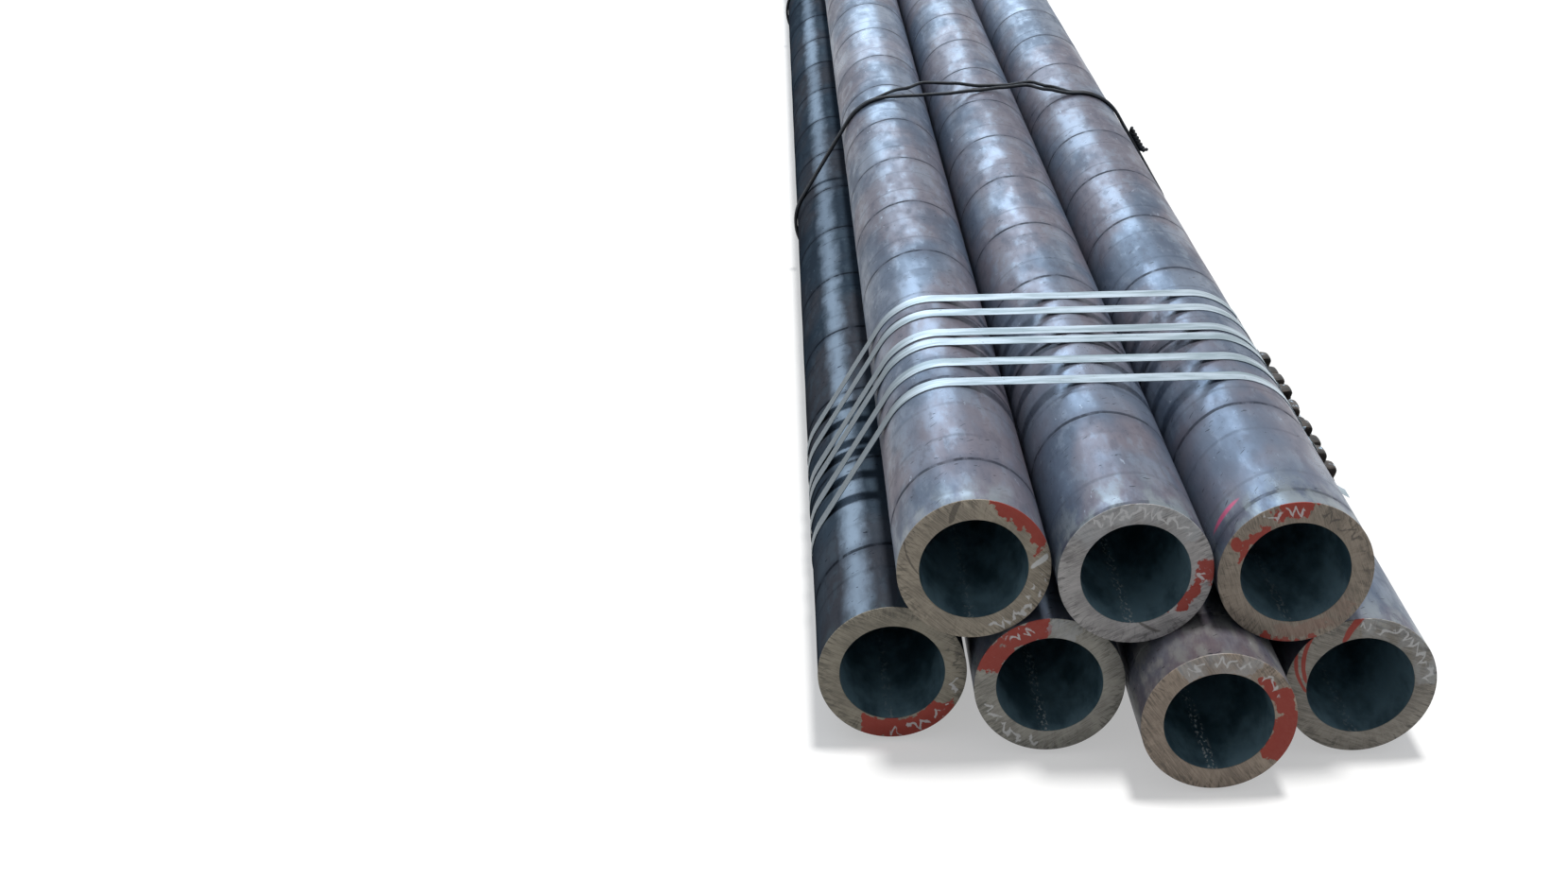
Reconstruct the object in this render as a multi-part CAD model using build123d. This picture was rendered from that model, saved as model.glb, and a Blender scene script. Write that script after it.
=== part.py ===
"""A strapped bundle of seven thick-walled steel pipes: four side by side, three in their grooves.

The pipes run along Y, with the ends nearest the viewer at -Y. Z = 0 is the level floor under
the wire ties, which are the lowest pieces, and the origin is under the middle of the bundle.
Sizes are in millimetres.
"""

import os

from build123d import *

# Pipes
pipe_diameter = 219.1
pipe_wall = 32.0
pipe_length = 6000.0
end_chamfer = 1.0

# How the pipes lie: the gaps of the bottom row close up from left to right
bottom_count = 4
first_gap = 6.0
gap_step = 2.0
seat_clearance = 0.3

# How far each near end stands behind the middle top pipe's near end
end_setback = {
    "pipe_bottom_1": 65.0,
    "pipe_bottom_2": 21.0,
    "pipe_bottom_3": -88.0,
    "pipe_bottom_4": 2.0,
    "pipe_top_1": 26.0,
    "pipe_top_2": 0.0,
    "pipe_top_3": -7.0,
}

# Flat straps, by the distance of each middle line behind the middle top pipe's end
strap_width = 32.0
strap_thickness = 1.0
strap_places = (454.0, 538.0, 629.0, 673.0, 767.0, 839.0)
wrap_clearance = 0.3

# The strap's free end, which lies on the strap under the seal and lifts off below it
lap_above_seal = 14.0
tail_length = 42.0
tail_lift_length = 26.0
tail_lift = 12.0

# Crimped seals on the sloping side between the right-hand pipes of the two rows
seal_length = 64.0
seal_thickness = 1.2
seal_clearance = 0.2
seal_crest = 9.0
crest_width = 8.0
seal_flat = 3.0
seal_slot = 8.0
crimp_radius = 9.0
crimp_sides = 6
crimp_depth = 4.0
seal_shifts = (6.0, -4.0, 3.0, -12.0, 9.0, -5.0)

# Wire ties: one wire laid twice round the bundle, its two ends twisted together. The first is
# placed from the near ends and the second from the far ends.
wire_diameter = 8.0
tie_place = 2225.0
rear_tie_place = 1400.0
wire_sides = 6
strand_spacing = 8.4
strand_gap = 4.0
tie_bends = 50.0
twist_width = 15.5
twist_edge = 2.8
twist_nest = 1.0
twist_step = 9.0
twist_steps = 7
twist_angle = 45.0
twist_top = -62.0

# The route of each strand over the top pipes: across the bundle, and towards the far end
far_strand_route = ((-185.0, 0.0), (-130.0, 125.0), (0.0, 82.0), (125.0, 108.0), (190.0, 0.0))
near_strand_route = ((-165.0, 0.0), (-20.0, 44.0), (112.0, 92.0), (182.0, 0.0))

pipe_radius = pipe_diameter / 2
bore_radius = pipe_radius - pipe_wall
wire_radius = wire_diameter / 2
bottom_height = wire_diameter + wrap_clearance + pipe_radius

# The middle top pipe's near end, with the whole bundle centred on the origin
reference_end = -(pipe_length + min(end_setback.values()) + max(end_setback.values())) / 2


def pipe_axes():
    """The X and Z of each pipe's axis, by name."""
    across = [0.0]
    for gap in range(bottom_count - 1):
        across.append(across[-1] + pipe_diameter + first_gap - gap * gap_step)
    middle = across[-1] / 2
    axes = {}
    for place, x in enumerate(across, start=1):
        axes[f"pipe_bottom_{place}"] = (x - middle, bottom_height)
    for place in range(1, bottom_count):
        half_pitch = (across[place] - across[place - 1]) / 2
        rise = ((pipe_diameter + seat_clearance) ** 2 - half_pitch**2) ** 0.5
        x = across[place - 1] + half_pitch - middle
        axes[f"pipe_top_{place}"] = (x, bottom_height + rise)
    return axes


axes = pipe_axes()
corner_pipes = (
    "pipe_bottom_1",
    "pipe_top_1",
    f"pipe_top_{bottom_count - 1}",
    f"pipe_bottom_{bottom_count}",
)
corners = [Vector(*axes[name]) for name in corner_pipes]


def section_at(y):
    """The plane across the bundle at y, with its own axes along X and Z."""
    return Plane((0, y, 0), x_dir=(1, 0, 0), z_dir=(0, -1, 0))


def side_at(y):
    """The plane across the bundle at y, from the middle of the strap's right-hand straight run.

    Its first axis runs down the slope and its second points out of the bundle.
    """
    top, bottom = corners[2], corners[3]
    down = (bottom - top).normalized()
    out = Vector(-down.Y, down.X)
    middle = (top + bottom) / 2 + out * (pipe_radius + wrap_clearance)
    return Plane((middle.X, y, middle.Y), x_dir=(down.X, 0, down.Y), z_dir=(0, -1, 0))


def wrapped(standoff):
    """The area inside a tight loop round the outer pipes, at a standoff from their surfaces."""
    core = make_face(Polyline(*corners, close=True))
    return offset(core, pipe_radius + standoff, kind=Kind.ARC)


def make_pipe(name):
    """One pipe, sawn square, with its sharp outer edges broken."""
    x, z = axes[name]
    near_end = reference_end + end_setback[name]
    ring = Circle(pipe_radius) - Circle(bore_radius)
    start = Plane((x, near_end, z), x_dir=(1, 0, 0), z_dir=(0, 1, 0))
    pipe = start * extrude(ring, pipe_length)
    rims = pipe.edges().filter_by(GeomType.CIRCLE).group_by(SortBy.RADIUS)
    return chamfer(rims[-1], end_chamfer)


def make_strap(y, seal_shift):
    """A closed band round the bundle, with the lap and the lifted tail of its free end."""
    band_face = wrapped(wrap_clearance + strap_thickness) - wrapped(wrap_clearance)
    band = section_at(y) * extrude(band_face, strap_width / 2, both=True)
    top = seal_shift - seal_length / 2 - lap_above_seal
    seal_end = seal_shift + seal_length / 2
    bend = seal_end + tail_length - tail_lift_length
    tip = seal_end + tail_length
    under, over = strap_thickness, 2 * strap_thickness
    lap_face = make_face(
        Polyline(
            (top, under),
            (bend, under),
            (tip, under + tail_lift),
            (tip, over + tail_lift),
            (bend, over),
            (top, over),
            close=True,
        )
    )
    lap = side_at(y) * extrude(lap_face, strap_width / 2, both=True)
    return band + lap


def crimp_profile(half_length, low, high):
    """The side view of a crimped sleeve: flat below, with two waves above."""
    foot = half_length - seal_flat
    crest = half_length / 2
    wave = [(half_length, 0.0), (foot, 0.0)]
    wave += [(crest + crest_width / 2, seal_crest), (crest - crest_width / 2, seal_crest), (seal_flat, 0.0)]
    right = [(along, high + rise) for along, rise in wave]
    left = [(-along, level) for along, level in reversed(right)]
    return make_face(Polyline((half_length, low), *right, *left, (-half_length, low), close=True))


def make_seal(y, seal_shift):
    """A folded steel sleeve round both layers of a strap, open at its ends and crimped twice."""
    low = -seal_clearance
    high = 2 * strap_thickness + seal_clearance
    inner_width = strap_width + 2 * seal_clearance
    outer_width = inner_width + 2 * seal_thickness
    half_length = seal_length / 2
    shell_face = crimp_profile(half_length, low - seal_thickness, high + seal_thickness)
    shell = extrude(shell_face, outer_width / 2, both=True)
    shell -= extrude(crimp_profile(half_length, low, high), inner_width / 2, both=True)
    seam = Box(seal_length, 2 * seal_thickness, seal_slot, align=(Align.CENTER, Align.MAX, Align.CENTER))
    shell -= seam.moved(Location((0, low, 0)))
    for along in (-half_length / 2, half_length / 2):
        for side in (-1, 1):
            across = side * (outer_width / 2 + crimp_radius - crimp_depth)
            bite = extrude(Plane.XZ * RegularPolygon(crimp_radius, crimp_sides), 2 * seal_crest, both=True)
            shell -= bite.moved(Location((along, 0, across)))
    return side_at(y) * shell.moved(Location((seal_shift, 0, 0)))


def loop_corners(standoff):
    """The corner points of a tight loop drawn with straight lines only, at a standoff."""
    points = []
    for place, corner in enumerate(corners):
        before = (corner - corners[place - 1]).normalized()
        after = (corners[(place + 1) % len(corners)] - corner).normalized()
        out = (before - after).normalized()
        half_angle_cosine = (before + after).length / 2
        points.append(corner + out * ((pipe_radius + standoff) / half_angle_cosine))
    return points


def swept_wire(path, out):
    """A wire along a path, in few flat sides, with one of its edges on the outward side."""
    start = Plane(origin=path @ 0, x_dir=out, z_dir=path % 0)
    return sweep(start * RegularPolygon(wire_radius, wire_sides), path=path)


def make_strand(y, route, away):
    """One turn of the tie wire, with its two ends meeting under the twisted tail.

    away is 1 where the route's shifts run towards +Y.
    """
    standoff = wrap_clearance + wire_radius
    low_left, top_left, top_right, low_right = loop_corners(standoff)
    side = side_at(y)
    points = [side.from_local_coords((strand_gap / 2, wire_radius, 0))]
    points += [Vector(corner.X, y, corner.Y) for corner in (low_right, low_left, top_left)]
    rise = (top_right.Y - top_left.Y) / (top_right.X - top_left.X)
    for x, shift in route:
        points.append(Vector(x, y + away * shift, top_left.Y + (x - top_left.X) * rise))
    points.append(Vector(top_right.X, y, top_right.Y))
    points.append(side.from_local_coords((-strand_gap / 2, wire_radius, 0)))
    corner = pipe_radius + standoff
    radii = [corner] * 3 + [tie_bends] * len(route) + [corner]
    return swept_wire(FilletPolyline(*points, radius=radii), side.y_dir)


def make_twist(y):
    """The two ends of the tie wire twisted together, lying on its strands on the sloping side."""
    height = wire_diameter + wrap_clearance + twist_width / 2 - twist_nest
    lay = chamfer(Rectangle(twist_width, wire_diameter).vertices(), twist_edge)
    sections = []
    for step in range(twist_steps + 1):
        place = Plane((twist_top + twist_step * step, height, 0), x_dir=(0, 1, 0), z_dir=(1, 0, 0))
        sections.append(place * lay.rotate(Axis.Z, twist_angle * step))
    return side_at(y) * loft(sections, ruled=True)


def make_tie(y, away):
    """One wire tie: two strands that part over the top pipes, and their twisted ends."""
    far = make_strand(y + away * strand_spacing / 2, far_strand_route, away)
    near = make_strand(y - away * strand_spacing / 2, near_strand_route, away)
    return Compound(children=[far, near, make_twist(y)])


def make_bundle():
    """Every piece by name."""
    far_reference = reference_end + pipe_length
    pieces = {name: make_pipe(name) for name in axes}
    for place, (offset_in, shift) in enumerate(zip(strap_places, seal_shifts), start=1):
        for end, y in (("front", reference_end + offset_in), ("rear", far_reference - offset_in)):
            pieces[f"strap_{end}_{place}"] = make_strap(y, shift)
            pieces[f"seal_{end}_{place}"] = make_seal(y, shift)
    pieces["wire_tie_front"] = make_tie(reference_end + tie_place, 1)
    pieces["wire_tie_rear"] = make_tie(far_reference - rear_tie_place, -1)
    return pieces


os.makedirs("parts", exist_ok=True)
for name, piece in make_bundle().items():
    export_step(piece, f"parts/{name}.step")
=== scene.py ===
"""The looks of a strapped bundle of seven thick-walled steel pipes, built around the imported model."""

import math
import random

import bpy
import numpy as np
from mathutils import Matrix, Vector


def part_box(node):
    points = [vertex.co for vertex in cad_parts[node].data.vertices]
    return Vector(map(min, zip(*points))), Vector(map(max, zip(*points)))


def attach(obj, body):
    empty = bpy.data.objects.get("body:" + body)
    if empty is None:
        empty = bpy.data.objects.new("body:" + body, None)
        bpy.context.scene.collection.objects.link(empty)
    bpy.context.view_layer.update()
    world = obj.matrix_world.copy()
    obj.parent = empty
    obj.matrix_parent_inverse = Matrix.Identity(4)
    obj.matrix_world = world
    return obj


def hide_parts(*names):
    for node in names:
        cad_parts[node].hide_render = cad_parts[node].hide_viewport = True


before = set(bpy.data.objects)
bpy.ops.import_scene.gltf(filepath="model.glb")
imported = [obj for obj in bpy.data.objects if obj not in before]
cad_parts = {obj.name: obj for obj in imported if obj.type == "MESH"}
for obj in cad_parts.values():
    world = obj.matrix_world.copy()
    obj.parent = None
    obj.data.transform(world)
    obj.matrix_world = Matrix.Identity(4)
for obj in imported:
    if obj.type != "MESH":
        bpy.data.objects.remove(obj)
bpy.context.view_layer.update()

# The photograph's width in pixels, and the lens that was fitted to the pipes' end faces
IMAGE_WIDTH = 1659
FOCAL_PIXELS = 2164.6
SENSOR_WIDTH = 36.0

# The camera's turns in degrees, its place in metres, and how far it sees
CAMERA_PITCH = 24.124
CAMERA_YAW = -0.477
CAMERA_ROLL = 1.332
CAMERA_LEFT = 0.4826
CAMERA_HEIGHT = 1.6468
CAMERA_BEHIND_ENDS = 2.5341
CAMERA_REACH = 200

# The key lamp: the place that it shines from, its strength and colour, and its spread in degrees
KEY_FROM = (0.7, 0.9, 8.0)
KEY_ENERGY = 2.7
KEY_COLOR = (1.0, 0.99, 0.97)
KEY_SPREAD = 9.0

# Soft panels beyond the far ends: place, width and height, and energy
PANEL_AIM = (0.0, -1.0, 0.3)
PANEL_COLOR = (0.64, 0.83, 1.0)
PANELS = {
    "panel_ahead": ((-1.2, 10.5, 4.8), (4.6, 4.2), 450),
    "panel_left": ((-7.6, 8.5, 4.4), (1.6, 4.6), 60),
}

# The sky, and the floor: its size in metres, the grey that lights the object, and the pale colour
# and glow that the camera sees
SKY_COLOR = (0.93, 0.96, 1.0, 1.0)
SKY_LEVEL = 0.29
FLOOR_SIZE = 160
FLOOR_GREY = 0.30
FLOOR_PALE = 0.60
FLOOR_GLOW = 0.42

# The names of the pipes from left to right, the outer ones round the bundle, and the straps of
# one group
BOTTOM_PIPES = [f"pipe_bottom_{place}" for place in range(1, 5)]
TOP_PIPES = [f"pipe_top_{place}" for place in range(1, 4)]
CORNER_PIPES = (BOTTOM_PIPES[0], TOP_PIPES[0], TOP_PIPES[-1], BOTTOM_PIPES[-1])
STRAP_COUNT = 6

# Seeds, to which each pipe, strap and seal adds its number, and what the rear ones add besides
SKIN_SEED = 10
SAWN_SEED = 30
BORE_SEED = 50
STRAP_SEED = 70
SEAL_SEED = 120
REAR_SEED_STEP = 10

# How far a seed may shift a material's noise
FIELD_SHIFT = 20

# Pipes, in metres: the wall, the broken edges, and how far the skin swells
PIPE_WALL = 0.032
EDGE_ROUNDING = 0.0010
ROLL_SWELL = 0.00018
OVAL_SWELL = 0.00012

# How fine the pipes' meshes are, and how far the bore's rings stay from its ends
PIPE_SEGMENTS = 144
PIPE_RINGS = 150
BORE_RINGS = 12
BORE_RING_INSET = 0.2

# The rolls' rings: their pitch, how far a ring leans in one turn and wanders, and the places of
# the fainter ones between two of them, as shares of the pitch
ROLL_PITCH = 0.313
RING_LEAN = 0.02
RING_WANDER = 0.03
FAINT_RINGS = (0.20, 0.74)

# The skin of the pipes: its gloss, how metallic it looks, the tints of the odd ones, of which
# pipe_bottom_1's is painted shade, and how far behind the near ends it is worn, in metres
SKIN_GLOSS = 0.02
SKIN_METAL = 0.38
SKIN_TINTS_AND_PAINTED_SHADE = {"pipe_bottom_1": (0.58, 0.63, 0.64), "pipe_bottom_3": (1.10, 1.04, 1.0)}
WORN_LENGTH = 0.13

# The dull pipe, and its pale strip, a painted reflection: the angle of its middle, half of its
# width, and how ragged it is, in degrees
DULL_PIPE_WITH_PAINTED_SHEEN = "pipe_bottom_1"
SHEEN_STRIP_ANGLE = 116.0
SHEEN_STRIP_HALF = 16.0
SHEEN_STRIP_RAGGED = 20.0

# Strokes of pink marker: the angle, the distance behind the near ends, and both half sizes
PINK_STROKES = {"pipe_top_3": [(147.0, 0.060, 18.0, 0.008)]}

# The speckled line in a bore: its angle in degrees, and how plainly it shows
BORE_LINE_ANGLE = -93.0
BORE_SPECKS = {"pipe_top_2": 0.9, "pipe_bottom_2": 0.7, "pipe_bottom_3": 1.0}
PLAIN_BORE_SPECKS = 0.3

# Paint marks on the end faces, in degrees round the ring: how far their corners are eased, the
# wall's depth, how ragged their edges are, and below which half width they are sharper
MARK_EASE = 5.0
WALL_TURN = 20.0
MARK_TEAR = 24.0
MARK_DRIFT = 14.0
NARROW_MARK = 6.0
NARROW_MARK_TEAR = 0.15

# The zigzag of the chalk, in degrees: half the width of one swing, how far it strays, and what
# keeps its angle above 0
STROKE_HALF_PERIOD = 6.5
STROKE_STRAY = 34.0
TWO_TURNS = 720.0

# The colour of each paint and chalk, and how well it covers
INKS = {
    "red": ((150, 46, 32), 0.95),
    "chalk": ((216, 218, 218), 0.85),
    "scribble": ((214, 214, 214), 0.8),
    "smear": ((180, 184, 188), 0.55),
    "blush": ((142, 96, 84), 0.4),
    "smudge": ((52, 50, 48), 0.6),
    "scratch": ((70, 64, 58), 0.7),
}

# Paint and chalk on each near end face. Each mark is an ink, the angles in degrees that it runs
# between from +X, the share of the wall that it covers counted from the bore, and its slant: how
# many degrees it leans from the bore to the outside.
END_MARKS = {
    "pipe_top_1": [
        ("red", 14, 72, 0.42, 1.1, 14),
        ("chalk", 3, 9, 0.1, 0.9, 12),
        ("scribble", 288, 352, 0.1, 1.0, 0),
        ("scratch", 106, 112, 0.1, 1.0, -14),
        ("scratch", 168, 171, 0.0, 1.0, -30),
    ],
    "pipe_top_2": [
        ("red", 318, 348, 0.0, 0.62, 16),
        ("red", 350, 372, 0.15, 1.1, 6),
        ("scribble", 352, 366, 0.0, 1.0, 0),
        ("smear", 34, 150, 0.0, 1.1, 0),
        ("scribble", 40, 138, 0.25, 0.9, 0),
        ("scratch", 286, 290, 0.0, 0.7, 22),
    ],
    "pipe_top_3": [
        ("red", 80, 112, 0.25, 1.1, -6),
        ("red", 122, 168, 0.0, 0.34, 0),
        ("red", 148, 158, 0.3, 0.95, -8),
        ("scribble", 88, 126, 0.1, 1.0, 0),
        ("red", 246, 292, 0.82, 1.1, 0),
        ("blush", 256, 330, 0.1, 0.9, 0),
        ("smudge", 16, 78, 0.15, 0.75, 0),
    ],
    "pipe_bottom_1": [
        ("red", 240, 326, 0.0, 1.1, 12),
        ("scribble", 268, 318, 0.3, 1.0, 0),
        ("scribble", 326, 356, 0.2, 1.0, 0),
        ("smudge", 2, 30, 0.1, 1.0, 0),
    ],
    "pipe_bottom_2": [
        ("red", 92, 164, 0.0, 1.1, -3),
        ("scribble", 98, 134, 0.05, 0.95, 0),
        ("smear", 64, 92, 0.0, 1.0, 0),
        ("scribble", 200, 262, 0.0, 1.0, 0),
    ],
    "pipe_bottom_3": [
        ("red", -42, 34, 0.0, 1.1, 4),
        ("red", 30, 56, 0.0, 0.45, 0),
        ("scribble", 30, 60, 0.1, 0.6, 0),
        ("smear", 58, 126, 0.0, 1.1, 0),
        ("scribble", 64, 122, 0.2, 0.85, 0),
        ("smudge", 206, 232, 0.0, 0.2, 0),
    ],
    "pipe_bottom_4": [
        ("red", 100, 108, 0.0, 1.1, -16),
        ("red", 152, 160, 0.0, 1.1, -40),
        ("red", 166, 172, 0.0, 1.0, -34),
        ("smear", 0, 94, 0.0, 1.1, 0),
        ("scribble", 2, 96, 0.1, 0.9, 0),
    ],
}

# The slant of each end's saw lines in degrees, and its colour
SAW_LEAN = {
    "pipe_bottom_1": 62,
    "pipe_bottom_2": -58,
    "pipe_bottom_3": 35,
    "pipe_bottom_4": 70,
    "pipe_top_1": 48,
    "pipe_top_2": -65,
    "pipe_top_3": 20,
}
END_TONES = {
    "pipe_bottom_1": (150, 143, 128),
    "pipe_bottom_2": (160, 157, 148),
    "pipe_bottom_3": (160, 145, 130),
    "pipe_bottom_4": (150, 144, 134),
    "pipe_top_1": (162, 152, 136),
    "pipe_top_2": (172, 169, 168),
    "pipe_top_3": (152, 140, 126),
}

# Straps, in metres: their thickness, their clearance, how much narrower they are than in the
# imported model, and how far they wander from a straight line
STRAP_THICKNESS = 0.001
WRAP_CLEARANCE = 0.0003
STRAP_NARROWING = 0.0008
STRAP_WANDER = 0.0004

# The waves of that wander, in radians a metre across and up the bundle, and the steps of each
# bend and straight run
WANDER_ACROSS = 5.0
WANDER_UP = 3.0
STRAP_ARC_STEPS = 24
STRAP_RUN_STEPS = 10

# The free end of a strap, by the distance down the slope from the middle of its seal: where its
# lap starts and how long it is, where its tail lifts off, over what length, how far and in what
# curve, and how far it goes askew from what share of the lap on
LAP_START = -0.046
LAP_LENGTH = 0.118
LAP_STEPS = 30
LAP_AIR = 0.00005
TAIL_BEND = 0.046
TAIL_LENGTH = 0.026
TAIL_LIFT = 0.0105
TAIL_CURVE = 1.6
TAIL_SKEW = 0.002
SKEW_FROM = 0.6

# Wire ties, in metres: the wire, half of the strands' spacing, and the height over which they part
WIRE_RADIUS = 0.004
STRAND_OFFSET = 0.0042
TOP_HEIGHT = 0.35

# How fine the ties' meshes are: the wire's sides, and the steps of each bend and straight run
WIRE_SEGMENTS = 14
TIE_ARC_STEPS = 30
TIE_RUN_STEPS = 40

# Where each strand runs over the top pipes: across the bundle, and back from its plane
FAR_ROUTE = ((-0.26, 0.000), (-0.185, 0.070), (-0.130, 0.125), (-0.06, 0.112), (0.0, 0.082))
FAR_ROUTE += ((0.065, 0.082), (0.125, 0.108), (0.165, 0.060), (0.215, 0.0))
NEAR_ROUTE = ((-0.26, 0.0), (-0.165, 0.012), (-0.090, 0.022), (-0.020, 0.044), (0.055, 0.068))
NEAR_ROUTE += ((0.112, 0.086), (0.155, 0.040), (0.205, 0.0))

# The twisted ends of a tie: where they start on the slope, their length and half turns, the
# height of their middle over the strands, and the swing of each wire about it
TWIST_START = -0.064
TWIST_LENGTH = 0.066
TWIST_HALF_TURNS = 7.0
TWIST_STEPS = 48
TWIST_HEIGHT = 0.0062
TWIST_SWING = 0.0038

# How the twisted wires flare at both ends: the distance, and the share of the length that it takes
FLARE_BELOW = 0.006
FLARE_BELOW_SHARE = 0.14
FLARE_ABOVE = 0.007
FLARE_ABOVE_SHARE = 0.10

# Seals, in metres: their length and sheet, half of the open seam below, the rounding of the folds,
# the heights of the underside and the back over the strap's underside, and the back's crown
SEAL_LENGTH = 0.064
SEAL_THICKNESS = 0.0012
SEAL_SEAM = 0.004
SEAL_CORNER = 0.0012
SEAL_UNDER = -0.0014
SEAL_BACK = 0.0034
SEAL_CROWN = 0.0008
SEAL_STEPS = 44

# The crimps, whose places are shares of the length: half of each one's length, how high the
# wave in the back rises, and how deep the notch in each edge is
CRIMP_PLACES = (-0.25, 0.25)
CRIMP_HALF = 0.011
CRIMP_CREST = 0.0115
CRIMP_DEPTH = 0.0034

# How far the seal's mouths flare, and over what share of its half length
MOUTH_FLARE = 0.0008
MOUTH_SHARE = 0.1


def pipe_axis(name):
    """The middle of a pipe's axis as X and Z, its radius, and the Y of its two ends."""
    low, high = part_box(name)
    return (low.x + high.x) / 2, (low.z + high.z) / 2, (high.x - low.x) / 2, low.y, high.y


REFERENCE_END = pipe_axis("pipe_top_2")[3]


# Camera and light
def camera_axes():
    """The camera's right, up and backward directions in the model's frame."""
    pitch, yaw, roll = (math.radians(a) for a in (CAMERA_PITCH, CAMERA_YAW, CAMERA_ROLL))
    ahead = Vector((math.sin(yaw) * math.cos(pitch), -math.sin(pitch), math.cos(yaw) * math.cos(pitch)))
    level = Vector((math.cos(yaw), 0, -math.sin(yaw)))
    above = level.cross(ahead)
    if above.y > 0:
        above = -above
    across = math.cos(roll) * level + math.sin(roll) * above
    above = -math.sin(roll) * level + math.cos(roll) * above
    right = Vector((across.x, ahead.x, above.x))
    up = -Vector((across.y, ahead.y, above.y))
    back = -Vector((across.z, ahead.z, above.z))
    return right, up, back


def add_camera():
    """A camera where the photographer stood."""
    data = bpy.data.cameras.new("camera")
    data.sensor_width = SENSOR_WIDTH
    data.lens = SENSOR_WIDTH * FOCAL_PIXELS / IMAGE_WIDTH
    data.clip_end = CAMERA_REACH
    camera = bpy.data.objects.new("camera", data)
    bpy.context.scene.collection.objects.link(camera)
    matrix = Matrix(camera_axes()).transposed().to_4x4()
    matrix.translation = (-CAMERA_LEFT, REFERENCE_END - CAMERA_BEHIND_ENDS, CAMERA_HEIGHT)
    camera.matrix_world = matrix
    bpy.context.scene.camera = camera


def add_lamp(name, kind, place, aim, color, energy):
    """A lamp that shines from a place towards an aim."""
    data = bpy.data.lights.new(name, kind)
    data.energy = energy
    data.color = color
    lamp = bpy.data.objects.new(name, data)
    bpy.context.scene.collection.objects.link(lamp)
    lamp.location = place
    lamp.rotation_euler = (Vector(aim) - Vector(place)).to_track_quat("-Z", "Y").to_euler()
    return data


def seen_directly(tree, otherwise):
    """1 where a camera, glossy or transmission ray arrives, and another value for the rest."""
    path = tree.nodes.new("ShaderNodeLightPath")
    either = tree.nodes.new("ShaderNodeMath")
    either.operation = "MAXIMUM"
    tree.links.new(path.outputs["Is Camera Ray"], either.inputs[0])
    tree.links.new(path.outputs["Is Glossy Ray"], either.inputs[1])
    every = tree.nodes.new("ShaderNodeMath")
    every.operation = "MAXIMUM"
    tree.links.new(either.outputs[0], every.inputs[0])
    tree.links.new(path.outputs["Is Transmission Ray"], every.inputs[1])
    level = tree.nodes.new("ShaderNodeMapRange")
    tree.links.new(every.outputs[0], level.inputs["Value"])
    level.inputs["To Min"].default_value = otherwise
    return level.outputs[0]


def light_studio():
    """A soft key from above, pale panels beyond the far ends, and sky."""
    key = add_lamp("key", "SUN", KEY_FROM, (0, 0, 0), KEY_COLOR, KEY_ENERGY)
    key.angle = math.radians(KEY_SPREAD)
    for name, (place, size, energy) in PANELS.items():
        panel = add_lamp(name, "AREA", place, PANEL_AIM, PANEL_COLOR, energy)
        panel.shape = "RECTANGLE"
        panel.size, panel.size_y = size
    world = bpy.data.worlds.new("world")
    bpy.context.scene.world = world
    world.use_nodes = True
    tree = world.node_tree
    sky = tree.nodes["Background"]
    sky.inputs["Color"].default_value = SKY_COLOR
    tree.links.new(seen_directly(tree, SKY_LEVEL), sky.inputs["Strength"])


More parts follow.
